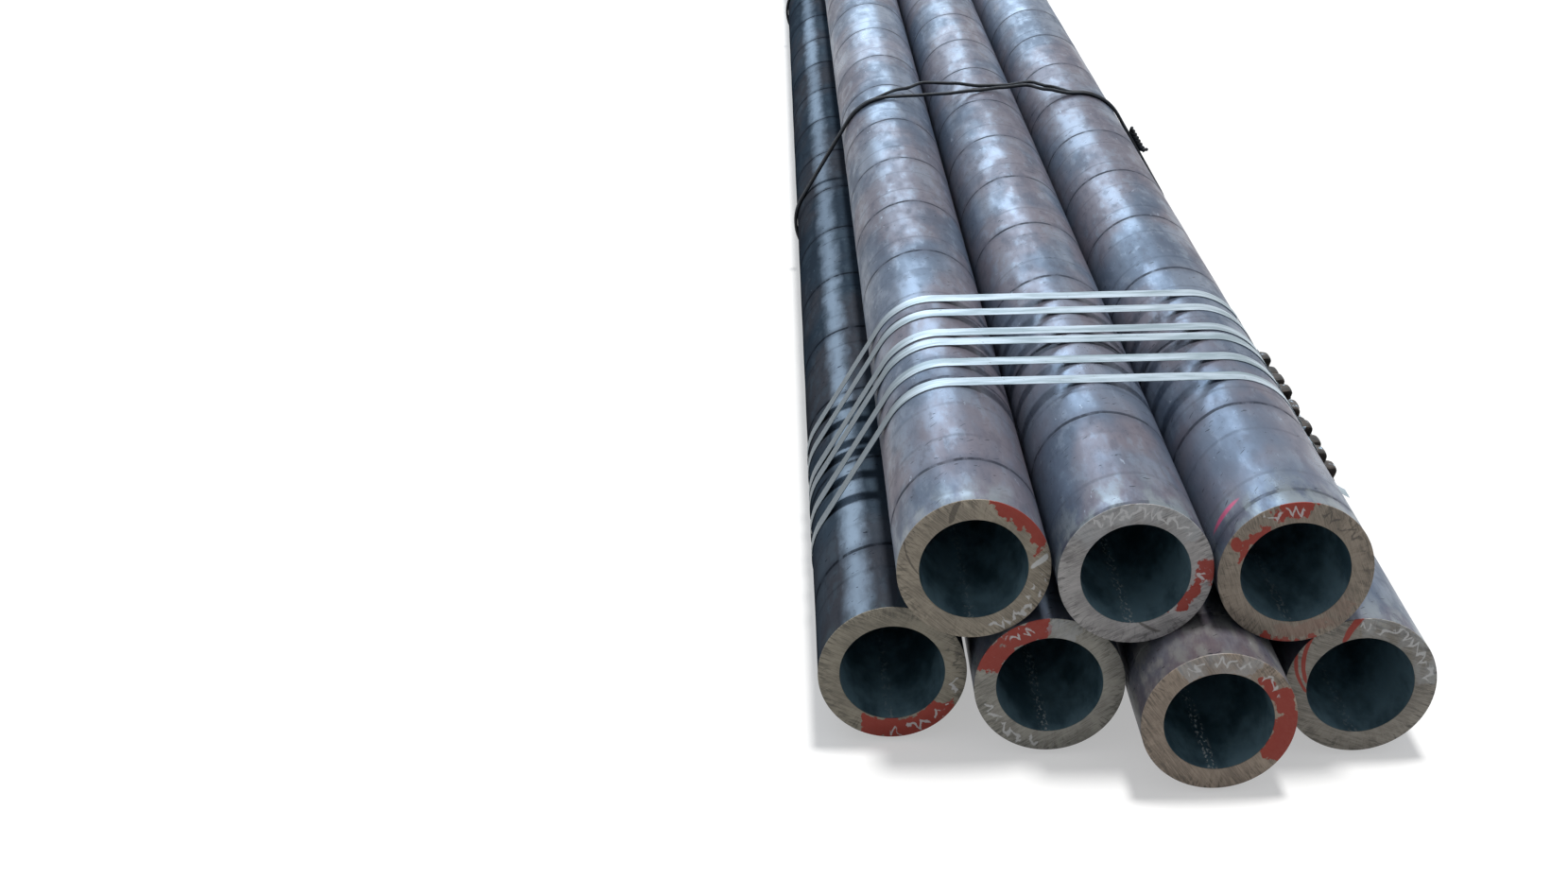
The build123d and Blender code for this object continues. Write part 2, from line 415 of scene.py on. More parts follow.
# Shader helpers
class Shader:
    """A small builder for one procedural material, with random draws of its own."""

    def __init__(self, name, seed=0):
        self.material = bpy.data.materials.new(name)
        self.material.use_nodes = True
        self.tree = self.material.node_tree
        self.surface = self.tree.nodes["Principled BSDF"]
        self.position = self.add("ShaderNodeTexCoord").outputs["Object"]
        self.rng = random.Random(seed)
        self.shift = (0, 0, 0)
        if seed:
            self.shift = tuple(self.rng.uniform(-FIELD_SHIFT, FIELD_SHIFT) for _ in range(3))

    def add(self, kind, values=None, **settings):
        """A new node, with its settings and the values or links of its sockets."""
        node = self.tree.nodes.new(kind)
        for key, value in settings.items():
            setattr(node, key, value)
        for key, value in (values or {}).items():
            self.put(node.inputs[key], value)
        return node

    def put(self, socket, value):
        """Links another node's output to a socket, or sets the socket's own value."""
        if isinstance(value, bpy.types.NodeSocket):
            self.tree.links.new(value, socket)
        else:
            socket.default_value = value

    def math(self, operation, first, second=0.0, third=0.0):
        values = {0: first, 1: second, 2: third}
        return self.add("ShaderNodeMath", values, operation=operation).outputs[0]

    def plus(self, first, second):
        return self.math("ADD", first, second)

    def minus(self, first, second):
        return self.math("SUBTRACT", first, second)

    def times(self, first, second):
        return self.math("MULTIPLY", first, second)

    def off(self, value, middle):
        """How far a value is from a middle one."""
        return self.math("ABSOLUTE", self.minus(value, middle))

    def ramp(self, value, low, high, out_low=0.0, out_high=1.0):
        """A smooth step of value from low to high."""
        values = {"Value": value, "From Min": low, "From Max": high}
        values.update({"To Min": out_low, "To Max": out_high})
        return self.add("ShaderNodeMapRange", values, interpolation_type="SMOOTHSTEP").outputs[0]

    def mix(self, factor, first, second):
        """A mix of two colours."""
        node = self.add("ShaderNodeMix", data_type="RGBA")
        self.put(node.inputs["Factor"], factor)
        self.put(node.inputs[6], first)
        self.put(node.inputs[7], second)
        return node.outputs[2]

    def scaled(self, space, scale, shift=(0, 0, 0)):
        """A position, scaled and shifted along each axis."""
        values = {"Vector": space, "Scale": scale, "Location": shift}
        return self.add("ShaderNodeMapping", values).outputs["Vector"]

    def turned(self, degrees, axis):
        """The position, turned about an axis."""
        values = {"Vector": self.position, "Angle": math.radians(degrees)}
        return self.add("ShaderNodeVectorRotate", values, rotation_type=axis).outputs[0]

    def noise_in(self, space, detail=4.0, rough=0.55, distortion=0.0):
        """A noise from 0 to 1 over any position."""
        values = {"Vector": space, "Scale": 1.0, "Detail": detail, "Roughness": rough}
        values["Distortion"] = distortion
        return self.add("ShaderNodeTexNoise", values).outputs["Fac"]

    def noise(self, scale, detail=4.0, rough=0.55, distortion=0.0):
        """A noise from 0 to 1 over the object, by how fine it is along each axis."""
        return self.noise_in(self.scaled(self.position, scale, self.shift), detail, rough, distortion)

    def polar(self, x, z):
        """The angle round an axis along Y, in degrees from +X, the distance from it, and the Y."""
        split = self.add("ShaderNodeSeparateXYZ", {0: self.position}).outputs
        across = self.minus(split[0], x)
        above = self.minus(split[2], z)
        angle = self.math("DEGREES", self.math("ARCTAN2", above, across))
        squares = self.plus(self.math("POWER", across, 2), self.math("POWER", above, 2))
        return angle, self.math("SQRT", squares), split[1]

    def finish(self, color, rough, metallic=0.0, specular=0.5, bump=None):
        """Sets the surface and gives the material. A bump is its height, depth and strength."""
        self.put(self.surface.inputs["Base Color"], color)
        self.put(self.surface.inputs["Roughness"], rough)
        self.surface.inputs["Metallic"].default_value = metallic
        self.surface.inputs["Specular IOR Level"].default_value = specular
        if bump is not None:
            height, depth, strength = bump
            values = {"Height": height, "Distance": depth, "Strength": strength}
            node = self.add("ShaderNodeBump", values)
            self.put(self.surface.inputs["Normal"], node.outputs["Normal"])
        return self.material


def rgb(r, g, b):
    """A colour written as the 0 to 255 values that it should render as."""
    linear = [((v / 255 + 0.055) / 1.055) ** 2.4 if v > 10 else v / 3295 for v in (r, g, b)]
    return (*linear, 1.0)


# Materials of the pipes
def mill_scale(name, x, z, seed):
    """Hot-rolled skin: blue-grey and mauve scale in soft clouds, and dark rings left by the rolls."""
    s = Shader(f"scale_{name}", seed)
    # pipe_bottom_1's colour shift darkens all of its skin as painted shade; pipe_bottom_3's is its own
    # tone
    tint_and_shade = SKIN_TINTS_AND_PAINTED_SHADE.get(name, (1.0, 1.0, 1.0))

    def skin(*tone):
        return rgb(*(level * share for level, share in zip(tone, tint_and_shade)))

    angle, _, along = s.polar(x, z)
    broad = s.noise((5, 2.4, 5), 4.0, 0.55)
    cloud = s.noise((14, 4.5, 14), 5.0, 0.6)
    patch = s.noise((38, 13, 38), 6.0, 0.62)
    fine = s.noise((240, 80, 240), 5.0, 0.7)

    # The way along the pipe in roll pitches, the distance from a ring as a share of the pitch,
    # and a random value for each length of pipe between two rings
    wander = s.times(s.minus(broad, 0.5), RING_WANDER)
    travel = s.plus(s.plus(along, s.times(angle, RING_LEAN / 360)), wander)
    pitches = s.math("DIVIDE", s.plus(travel, s.rng.uniform(0, 1)), ROLL_PITCH)
    part = s.math("FRACT", s.plus(pitches, 0.5))
    from_ring = s.off(part, 0.5)
    count = {"W": s.math("FLOOR", pitches)}
    length = s.add("ShaderNodeTexWhiteNoise", count, noise_dimensions="1D").outputs["Value"]

    color = s.mix(s.ramp(broad, 0.42, 0.58), skin(87, 99, 117), skin(109, 105, 115))
    for field, low, high, most, tone in (
        (cloud, 0.50, 0.66, 0.50, (122, 134, 152)),
        (cloud, 0.46, 0.32, 0.50, (70, 78, 94)),
        (patch, 0.54, 0.64, 0.40, (122, 134, 150)),
        (patch, 0.44, 0.34, 0.38, (74, 76, 88)),
        (fine, 0.58, 0.74, 0.40, (60, 66, 78)),
        (length, 0.55, 1.0, 0.28, (130, 140, 158)),
        (length, 0.45, 0.0, 0.20, (74, 80, 94)),
    ):
        color = s.mix(s.ramp(field, low, high, 0.0, most), color, skin(*tone))
    # A pale blue-white strip along the dull pipe's crown: a painted reflection
    if name == DULL_PIPE_WITH_PAINTED_SHEEN:
        strip = s.plus(s.off(angle, SHEEN_STRIP_ANGLE), s.times(s.minus(patch, 0.5), SHEEN_STRIP_RAGGED))
        painted_sheen = s.ramp(strip, 0.0, SHEEN_STRIP_HALF, 0.9, 0.0)
        painted_sheen = s.times(painted_sheen, s.ramp(length, 0.0, 1.0, 0.6, 1.0))
        color = s.mix(painted_sheen, color, rgb(150, 170, 192))

    # The dark rings, worn away in places, in a soft shade
    rings = s.ramp(from_ring, 0.009, 0.022, 1.0, 0.0)
    for place in FAINT_RINGS:
        off = s.off(part, place + s.rng.uniform(-0.08, 0.08))
        rings = s.math("MAXIMUM", rings, s.ramp(off, 0.004, 0.024, s.rng.uniform(0.12, 0.35), 0.0))
    rings = s.times(rings, s.ramp(patch, 0.36, 0.54, 0.2, 1.0))
    color = s.mix(s.ramp(from_ring, 0.02, 0.09, 0.35, 0.0), color, skin(70, 72, 86))
    color = s.mix(s.times(rings, 0.78), color, skin(32, 36, 46))

    # Pale worn skin by the near end, dark flecks, slanting ticks and pale scuffs
    worn = s.ramp(along, REFERENCE_END, REFERENCE_END + WORN_LENGTH, 0.75, 0.0)
    worn = s.times(worn, s.ramp(patch, 0.42, 0.60))
    color = s.mix(worn, color, skin(134, 142, 146))
    fleck = s.noise((70, 120, 70), 2.0, 0.5)
    color = s.mix(s.ramp(fleck, 0.70, 0.73, 0.0, 0.8), color, rgb(34, 38, 48))
    leaning = s.turned(s.rng.uniform(-50, -25), "Z_AXIS")
    tick = s.noise_in(s.scaled(leaning, (36, 240, 36)), 1.0, 0.4)
    color = s.mix(s.ramp(tick, 0.73, 0.77, 0.0, 0.8), color, rgb(40, 44, 54))
    scuff = s.noise((70, 24, 70), 3.0, 0.6)
    color = s.mix(s.ramp(scuff, 0.69, 0.76, 0.0, 0.6), color, skin(166, 176, 190))
    for place in PINK_STROKES.get(name, ()):
        color = s.mix(pink_stroke(s, angle, along, place), color, rgb(216, 92, 132))

    mixed = s.plus(s.times(cloud, 0.55), s.times(patch, 0.45))
    rough = s.ramp(mixed, 0.38, 0.60, 0.50, 0.30)
    rough = s.plus(rough, s.times(s.minus(length, 0.5), -0.08))
    rough = s.plus(rough, s.times(rings, 0.25))
    height = s.plus(s.times(patch, 0.6), s.times(fine, 0.08))
    height = s.plus(height, s.times(cloud, 0.8))
    height = s.minus(height, s.times(rings, 0.6))
    metal, gloss = (0.0, 0.0) if name == DULL_PIPE_WITH_PAINTED_SHEEN else (SKIN_METAL, SKIN_GLOSS)
    return s.finish(color, rough, metal, gloss, (height, 0.0014, 0.6))


def pink_stroke(s, angle, along, place):
    """A short stroke of marker: its angle, its distance from the near end, and both half sizes."""
    turn, back, half_turn, half_back = place
    off_turn = s.math("DIVIDE", s.minus(angle, turn), half_turn)
    off_back = s.math("DIVIDE", s.minus(along, REFERENCE_END + back), half_back)
    off_back = s.plus(off_back, s.times(off_turn, 0.5))
    squares = s.plus(s.math("POWER", off_turn, 2.0), s.math("POWER", off_back, 2.0))
    return s.ramp(squares, 0.3, 1.1, 0.85, 0.0)


def bore_scale(name, x, z, seed):
    """The bore: dark blue-green scale, with a pale speckled line along its floor."""
    s = Shader(f"bore_{name}", seed)
    angle, _, _ = s.polar(x, z)
    broad = s.noise((16, 8, 16), 5.0, 0.6)
    grit = s.noise((240, 110, 240), 3.0, 0.6)
    color = s.mix(s.ramp(broad, 0.35, 0.65), rgb(60, 86, 98), rgb(124, 154, 167))
    line = s.ramp(s.off(angle, BORE_LINE_ANGLE), 2.0, 7.5, 1.0, 0.0)
    speck = s.ramp(grit, 0.54, 0.60, 0.0, BORE_SPECKS.get(name, PLAIN_BORE_SPECKS))
    color = s.mix(s.times(line, speck), color, rgb(222, 224, 222))
    return s.finish(color, s.ramp(broad, 0.3, 0.7, 0.5, 0.36), 0.3, bump=(grit, 0.0006, 0.4))


def chalk_lines(s, angle, depth, grit):
    """A hasty zigzag of chalk with gaps in it."""
    hurry = s.noise((34, 34, 34), 1.0, 0.4)
    swung = s.plus(angle, s.times(s.minus(hurry, 0.5), STROKE_STRAY))
    wave = s.math("PINGPONG", s.plus(swung, TWO_TURNS), STROKE_HALF_PERIOD)
    wave = s.math("DIVIDE", wave, STROKE_HALF_PERIOD)
    reach = s.plus(0.10, s.times(hurry, 0.5))
    off_line = s.off(depth, s.plus(reach, s.times(wave, 0.45)))
    worn = s.times(s.minus(grit, 0.45), 0.30)
    lines = s.ramp(s.plus(off_line, worn), 0.08, 0.14, 1.0, 0.0)
    gaps = s.ramp(s.noise((48, 48, 48), 1.0), 0.40, 0.46)
    return s.times(lines, gaps)


def mark_shape(s, angle, depth, place, ragged):
    """1 inside a mark's place on the ring and 0 outside it, with eased corners and a torn edge."""
    start, stop, inner, outer, slant = place
    half = (stop - start) / 2
    ease = min(half, MARK_EASE)
    leaning = s.times(s.minus(depth, 0.5), slant)
    from_middle = s.minus(s.minus(angle, (start + stop) / 2), leaning)
    from_middle = s.math("ABSOLUTE", s.math("WRAP", from_middle, 180.0, -180.0))
    off_turn = s.math("MAXIMUM", s.minus(from_middle, half - ease), 0.0)
    off_depth = s.minus(s.off(depth, (inner + outer) / 2), (outer - inner) / 2)
    off_depth = s.math("MAXIMUM", s.plus(s.times(off_depth, WALL_TURN), ease), 0.0)
    squares = s.plus(s.math("POWER", off_turn, 2.0), s.math("POWER", off_depth, 2.0))
    edge = ragged if half > NARROW_MARK else s.times(ragged, NARROW_MARK_TEAR)
    off = s.plus(s.minus(s.math("SQRT", squares), ease), edge)
    return s.ramp(off, -0.7, 0.7, 1.0, 0.0)


def sawn_face(name, x, z, radius, seed):
    """A sawn end: saw lines at a slant, grime, and the paint and chalk of the mill's stockyard."""
    s = Shader(f"sawn_{name}", seed)

    def tone(share):
        """The face's own colour: darker below a share of 1, and paler above it."""
        return rgb(*(share * level for level in END_TONES[name]))

    angle, distance, along = s.polar(x, z)
    depth = s.math("DIVIDE", s.minus(distance, radius - PIPE_WALL), PIPE_WALL)
    leaning = s.turned(SAW_LEAN[name], "Y_AXIS")
    saw = s.noise_in(s.scaled(leaning, (900, 30, 26)), 4.0, 0.7)
    tick = s.noise_in(s.scaled(leaning, (230, 30, 42)), 2.0, 0.5)
    broad = s.noise((26, 26, 26), 5.0, 0.6, 0.4)
    grit = s.noise((190, 190, 190), 5.0, 0.65)
    torn = s.noise((64, 64, 64), 4.0, 0.6)

    # Radial bites of the saw, stronger towards the rim
    spread = s.add("ShaderNodeCombineXYZ", {0: s.times(angle, 0.42), 1: s.times(depth, 1.3)}).outputs[0]
    spread = s.add("ShaderNodeVectorMath", {0: spread, 1: s.shift}, operation="ADD").outputs[0]
    bite = s.noise_in(spread, 3.0, 0.6, 0.4)
    rim = s.ramp(depth, 0.15, 0.85, 0.25, 0.85)
    color = s.mix(s.ramp(broad, 0.35, 0.65), tone(0.78), tone(1.0))
    bite_dark = s.times(rim, s.ramp(broad, 0.34, 0.52))
    bite_dark = s.times(s.ramp(bite, 0.53, 0.62), bite_dark)
    color = s.mix(bite_dark, color, tone(0.55))
    bite_pale = s.times(s.ramp(bite, 0.42, 0.32), s.times(rim, 0.55))
    color = s.mix(bite_pale, color, tone(1.16))
    color = s.mix(s.ramp(saw, 0.42, 0.66, 0.0, 0.65), color, tone(1.16))
    color = s.mix(s.times(s.ramp(tick, 0.55, 0.62, 0.0, 0.75), rim), color, tone(0.58))
    color = s.mix(s.times(s.ramp(tick, 0.40, 0.33, 0.0, 0.6), rim), color, tone(1.16))
    color = s.mix(s.ramp(grit, 0.62, 0.74, 0.0, 0.6), color, tone(0.78))

    # The marks, on the near ends only
    ragged = s.plus(s.times(s.minus(torn, 0.5), MARK_TEAR), s.times(s.minus(broad, 0.5), MARK_DRIFT))
    lines = chalk_lines(s, angle, depth, grit)
    soft = s.ramp(broad, 0.30, 0.62)
    near = s.ramp(along, -0.5, 0.5, 1.0, 0.0)
    for ink, *place in END_MARKS[name]:
        shade, cover = INKS[ink]
        inside = mark_shape(s, angle, depth, place, ragged)
        if ink in ("scribble", "smudge"):
            inside = s.times(inside, lines)
        if ink in ("smear", "blush"):
            inside = s.times(inside, soft)
        inside = s.times(s.times(inside, near), cover)
        color = s.mix(inside, color, rgb(*shade))
    height = s.plus(s.times(saw, 0.8), s.times(grit, 0.3))
    return s.finish(color, s.ramp(grit, 0.3, 0.7, 0.62, 0.5), 0.15, bump=(height, 0.0005, 0.5))


# Materials of the straps, seals, wires and floor
def zinc_strap(name, seed):
    """Bright strapping with a faint grain along it and a few dark nicks, with painted shade on the left
    slope.
    """
    s = Shader(name, seed)
    grain = s.noise((30, 900, 30), 4.0, 0.6)
    cloud = s.noise((9, 60, 9), 4.0, 0.6)
    nick = s.noise((120, 160, 120), 2.0)
    color = s.mix(s.ramp(cloud, 0.35, 0.65), rgb(131, 148, 156), rgb(186, 200, 211))
    across = s.add("ShaderNodeSeparateXYZ", {0: s.position}).outputs[0]
    # Painted shade: the strap darker on the bundle's left slope
    color = s.mix(s.ramp(across, -0.27, -0.33, 0.0, 0.92), color, rgb(72, 87, 97))
    color = s.mix(s.ramp(nick, 0.70, 0.76, 0.0, 0.8), color, rgb(96, 100, 104))
    return s.finish(color, s.ramp(grain, 0.3, 0.7, 0.46, 0.36), 0.2, 0.25, (grain, 0.0001, 0.3))


def seal_sheet():
    """Crimped seals: worn coated sheet, mostly dark brown, with painted glints of bluish white."""
    s = Shader("seal_sheet")
    broad = s.noise((60, 60, 60), 4.0, 0.6)
    grit = s.noise((420, 420, 420), 3.0, 0.6)
    color = s.mix(s.ramp(broad, 0.40, 0.62), rgb(24, 21, 19), rgb(66, 57, 50))
    # Painted glints: small bluish-white spots
    color = s.mix(s.ramp(broad, 0.62, 0.67), color, rgb(176, 200, 220))
    color = s.mix(s.ramp(grit, 0.6, 0.72, 0.0, 0.5), color, rgb(24, 22, 22))
    return s.finish(color, 0.45, 0.12, 0.3, (grit, 0.0004, 0.4))


def black_wire():
    """Annealed wire rod with a dull black skin."""
    s = Shader("black_wire")
    broad = s.noise((50, 50, 50), 4.0, 0.6)
    grit = s.noise((600, 600, 600), 3.0, 0.6)
    color = s.mix(s.ramp(broad, 0.35, 0.65), rgb(14, 18, 24), rgb(32, 38, 46))
    return s.finish(color, s.ramp(grit, 0.3, 0.7, 0.58, 0.46), 0.0, 0.3, (grit, 0.0003, 0.4))


def floor_paint():
    """A floor that looks white and throws back only the light of a grey one, and keeps shadows."""
    s = Shader("floor_paint")
    seen = seen_directly(s.tree, 0.0)
    dust = s.noise((3, 3, 3), 4.0)
    pale = s.mix(dust, (0.97 * FLOOR_PALE,) * 3 + (1.0,), (FLOOR_PALE,) * 3 + (1.0,))
    grey = (FLOOR_GREY,) * 3 + (1.0,)
    s.surface.inputs["Emission Color"].default_value = (1.0, 1.0, 1.0, 1.0)
    s.put(s.surface.inputs["Emission Strength"], s.times(seen, FLOOR_GLOW))
    return s.finish(s.mix(seen, grey, pale), 0.9, specular=0.0)


# Meshes
def mesh_object(name, points, faces, materials, sharp, kinds=None):
    """A smooth-shaded mesh that stays sharp where it bends by more than a number of degrees."""
    mesh = bpy.data.meshes.new(name)
    mesh.from_pydata([tuple(p) for p in points], [], faces)
    for material in materials:
        mesh.materials.append(material)
    if kinds is not None:
        mesh.polygons.foreach_set("material_index", kinds)
    mesh.shade_smooth()
    mesh.set_sharp_from_angle(angle=math.radians(sharp))
    mesh.update()
    piece = bpy.data.objects.new(name, mesh)
    bpy.context.scene.collection.objects.link(piece)
    return piece


def broken_edge(radius, end, outwards, ahead):
    """Points of a broken edge as radius and Y, from the sawn face to the wall.

    outwards is 1 where the metal lies outside that radius, and ahead is 1 where it lies beyond
    that end along Y; otherwise they are -1.
    """
    shares = ((1.0, 0.0), (0.3, 0.3), (0.0, 1.0))
    return [(radius + outwards * EDGE_ROUNDING * a, end + ahead * EDGE_ROUNDING * b) for a, b in shares]


def pipe_profile(radius, bore, near, far):
    """The closed outline of a pipe's wall, as radius and Y, from the near end's outer edge round."""
    inset = 2 * EDGE_ROUNDING
    outline = broken_edge(radius, near, -1, 1)
    outline += [(radius, y) for y in np.linspace(near + inset, far - inset, PIPE_RINGS)]
    outline += reversed(broken_edge(radius, far, -1, -1))
    outline += broken_edge(bore, far, 1, -1)
    first, last = far - BORE_RING_INSET, near + BORE_RING_INSET
    outline += [(bore, y) for y in np.linspace(first, last, BORE_RINGS)]
    outline += reversed(broken_edge(bore, near, 1, 1))
    return outline


def skin_swell(y, turn, number):
    """How far the rolled skin lies under its nominal radius, by the rolls' waves and an oval."""
    roll = math.sin(2 * math.pi * y / ROLL_PITCH + number)
    oval = math.cos(2 * turn + number)
    return -ROLL_SWELL * (1 + roll) - OVAL_SWELL * (1 + oval)


def make_pipe(name, number):
    """A pipe whose rolled skin waves a little, with sawn ends and a dark bore."""
    x, z, radius, near, far = pipe_axis(name)
    bore = radius - PIPE_WALL
    outline = pipe_profile(radius, bore, near, far)
    points = []
    for r, y in outline:
        rolled = r == radius and near + EDGE_ROUNDING < y < far - EDGE_ROUNDING
        for step in range(PIPE_SEGMENTS):
            turn = 2 * math.pi * step / PIPE_SEGMENTS
            swell = skin_swell(y, turn, number) if rolled else 0.0
            points.append((x + (r + swell) * math.cos(turn), y, z + (r + swell) * math.sin(turn)))
    skin, sawn, inside = range(3)
    faces, kinds = [], []
    for row, (r0, y0) in enumerate(outline):
        after = (row + 1) % len(outline)
        r1, y1 = outline[after]
        kind = skin if min(r0, r1) > (radius + bore) / 2 else inside
        if abs(y1 - y0) < 0.9 * EDGE_ROUNDING:
            kind = sawn
        a, b = row * PIPE_SEGMENTS, after * PIPE_SEGMENTS
        for step in range(PIPE_SEGMENTS):
            side = (step + 1) % PIPE_SEGMENTS
            faces.append((a + step, b + step, b + side, a + side))
            kinds.append(kind)
    materials = [
        mill_scale(name, x, z, SKIN_SEED + number),
        sawn_face(name, x, z, radius, SAWN_SEED + number),
        bore_scale(name, x, z, BORE_SEED + number),
    ]
    piece = mesh_object(f"{name}_skin", points, faces, materials, sharp=40, kinds=kinds)
    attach(piece, "root")
    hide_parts(name)


def loop_corners():
    """The axes of the four corner pipes, as X and Z, round the bundle from the bottom left."""
    return [Vector(pipe_axis(name)[:2]) for name in CORNER_PIPES]


def right_slope():
    """The middle of the straps' run down the right side, and its directions down and outwards."""
    corners = loop_corners()
    down = (corners[3] - corners[2]).normalized()
    out = Vector((-down.y, down.x))
    foot = (corners[2] + corners[3]) / 2 + out * (pipe_axis("pipe_top_1")[2] + WRAP_CLEARANCE)
    return foot, down, out


def wrap_path(standoff, arc_steps, run_steps):
    """Points of a tight closed loop round the bundle, with the outward direction at each.

    The loop starts at the bottom left pipe and passes over the top.
    """
    corners = loop_corners()
    radius = pipe_axis("pipe_top_1")[2] + standoff
    outs = []
    for place, corner in enumerate(corners):
        ahead = (corners[(place + 1) % 4] - corner).normalized()
        outs.append(Vector((-ahead.y, ahead.x)))
    path = []
    for place, corner in enumerate(corners):
        before, after = outs[place - 1], outs[place]
        start = math.atan2(before.y, before.x)
        turn = -before.angle(after)
        for step in range(arc_steps):
            swing = start + turn * step / arc_steps
            out = Vector((math.cos(swing), math.sin(swing)))
            path.append((corner + out * radius, out))
        following = corners[(place + 1) % 4]
        for step in range(run_steps):
            path.append((corner.lerp(following, step / run_steps) + after * radius, after))
    return path


def band_mesh(name, path, closed, width, thickness, middle, wander, material):
    """A flat band along a path of places and outward directions, with eased edges."""
    ease = 0.3 * thickness
    half = width / 2
    section = [(-half, ease), (-half + ease, 0), (half - ease, 0), (half, ease)]
    section += [(half, thickness - ease), (half - ease, thickness)]
    section += [(-half + ease, thickness), (-half, thickness - ease)]
    points, faces = [], []
    count = len(section)
    for place, out, shift in path:
        for across, above in section:
            at = place + out * above
            points.append((at.x, middle + across + shift + wander(at), at.y))
    rows = len(path)
    for row in range(rows if closed else rows - 1):
        a, b = row * count, (row + 1) % rows * count
        for step in range(count):
            side = (step + 1) % count
            faces.append((a + step, a + side, b + side, b + step))
    if not closed:
        faces.append(tuple(reversed(range(count))))
        faces.append(tuple(range((rows - 1) * count, rows * count)))
    return mesh_object(name, points, faces, [material], sharp=35)


def seal_rise(end, place):
    """How far down the right slope, from its middle, a seal's middle lies."""
    low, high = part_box(f"seal_{end}_{place}")
    foot, down, _ = right_slope()
    return (Vector(((low.x + high.x) / 2, (low.z + high.z) / 2)) - foot).dot(down)


def make_strap(end, place):
    """One strap: its band, and the lap and lifted tail of its free end."""
    node = f"strap_{end}_{place}"
    low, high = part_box(node)
    middle = (low.y + high.y) / 2
    width = high.y - low.y - STRAP_NARROWING
    seed = STRAP_SEED + place + (REAR_SEED_STEP if end == "rear" else 0)
    phase = random.Random(seed).uniform(0, 6)

    def wander(at):
        return STRAP_WANDER * math.sin(WANDER_ACROSS * at.x + WANDER_UP * at.y + phase)

    skin = zinc_strap(f"zinc_{end}_{place}", seed)
    path = [(at, out, 0.0) for at, out in wrap_path(WRAP_CLEARANCE, STRAP_ARC_STEPS, STRAP_RUN_STEPS)]
    band = band_mesh(f"{node}_band", path, True, width, STRAP_THICKNESS, middle, wander, skin)
    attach(band, "root")
    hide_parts(node)
    foot, down, out = right_slope()
    rise = seal_rise(end, place)
    side = 1 if place % 2 else -1
    lap = []
    for step in range(LAP_STEPS + 1):
        share = step / LAP_STEPS
        along = rise + LAP_START + LAP_LENGTH * share
        lift = TAIL_LIFT * max(0.0, (along - rise - TAIL_BEND) / TAIL_LENGTH) ** TAIL_CURVE
        skew = TAIL_SKEW * max(0.0, share - SKEW_FROM) * side
        lap.append((foot + down * along + out * (STRAP_THICKNESS + LAP_AIR + lift), out, skew))
    thickness = 0.95 * STRAP_THICKNESS
    tail = band_mesh(f"{node}_lap", lap, False, width, thickness, middle, wander, skin)
    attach(tail, "root")


def tube_mesh(name, path, material):
    """A round wire along a list of points, closed with flat ends."""
    points, faces = [], []
    path = [Vector(p) for p in path]
    side = (path[1] - path[0]).normalized().orthogonal().normalized()
    for place, at in enumerate(path):
        ahead = (path[min(place + 1, len(path) - 1)] - path[max(place - 1, 0)]).normalized()
        side = (side - ahead * side.dot(ahead)).normalized()
        other = ahead.cross(side)
        for step in range(WIRE_SEGMENTS):
            turn = 2 * math.pi * step / WIRE_SEGMENTS
            beside, above = WIRE_RADIUS * math.cos(turn), WIRE_RADIUS * math.sin(turn)
            points.append(at + side * beside + other * above)
    for row in range(len(path) - 1):
        a, b = row * WIRE_SEGMENTS, (row + 1) * WIRE_SEGMENTS
        for step in range(WIRE_SEGMENTS):
            after = (step + 1) % WIRE_SEGMENTS
            faces.append((a + step, a + after, b + after, b + step))
    faces.append(tuple(reversed(range(WIRE_SEGMENTS))))
    faces.append(tuple(range(len(points) - WIRE_SEGMENTS, len(points))))
    return mesh_object(name, points, faces, [material], sharp=50)


def smooth_route(route, x):
    """The shift at x along a route, eased between its points."""
    for (x0, y0), (x1, y1) in zip(route, route[1:]):
        if x0 <= x <= x1:
            share = (x - x0) / (x1 - x0)
            share = share * share * (3 - 2 * share)
            return y0 + (y1 - y0) * share
    return 0.0


def twist_path(number, plane):
    """The way of one of the two twisted wires, on the slope in the tie's plane."""
    foot, down, out = right_slope()
    path = []
    for step in range(TWIST_STEPS + 1):
        share = step / TWIST_STEPS
        turn = math.pi * (number + TWIST_HALF_TURNS * share)
        flare = FLARE_BELOW * max(0.0, FLARE_BELOW_SHARE - (1 - share)) / FLARE_BELOW_SHARE
        if number:
            flare += FLARE_ABOVE * max(0.0, FLARE_ABOVE_SHARE - share) / FLARE_ABOVE_SHARE
        above = 2 * WIRE_RADIUS + TWIST_HEIGHT + TWIST_SWING * math.cos(turn) + flare
        at = foot + down * (TWIST_START + TWIST_LENGTH * share) + out * above
        path.append((at.x, plane + TWIST_SWING * math.sin(turn), at.y))
    return path


def make_tie(end, wire):
    """A doubled wire round the bundle, its two ends twisted together on the sloping side."""
    node = f"wire_tie_{end}"
    low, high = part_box(node)
    away = 1 if end == "front" else -1
    plane = (low.y if away > 0 else high.y) + away * (WIRE_RADIUS + STRAND_OFFSET)
    pieces = []
    strands = ("far", FAR_ROUTE, STRAND_OFFSET), ("near", NEAR_ROUTE, -STRAND_OFFSET)
    for strand, route, shift in strands:
        path = []
        for at, _ in wrap_path(WRAP_CLEARANCE + WIRE_RADIUS, TIE_ARC_STEPS, TIE_RUN_STEPS):
            back = smooth_route(route, at.x) if at.y > TOP_HEIGHT else 0.0
            path.append((at.x, plane + away * (shift + back), at.y))
        path.append(path[0])
        pieces.append(tube_mesh(f"{node}_{strand}", path, wire))
    for number in range(2):
        pieces.append(tube_mesh(f"{node}_twist_{number + 1}", twist_path(number, plane), wire))
    for piece in pieces:
        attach(piece, "root")
    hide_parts(node)


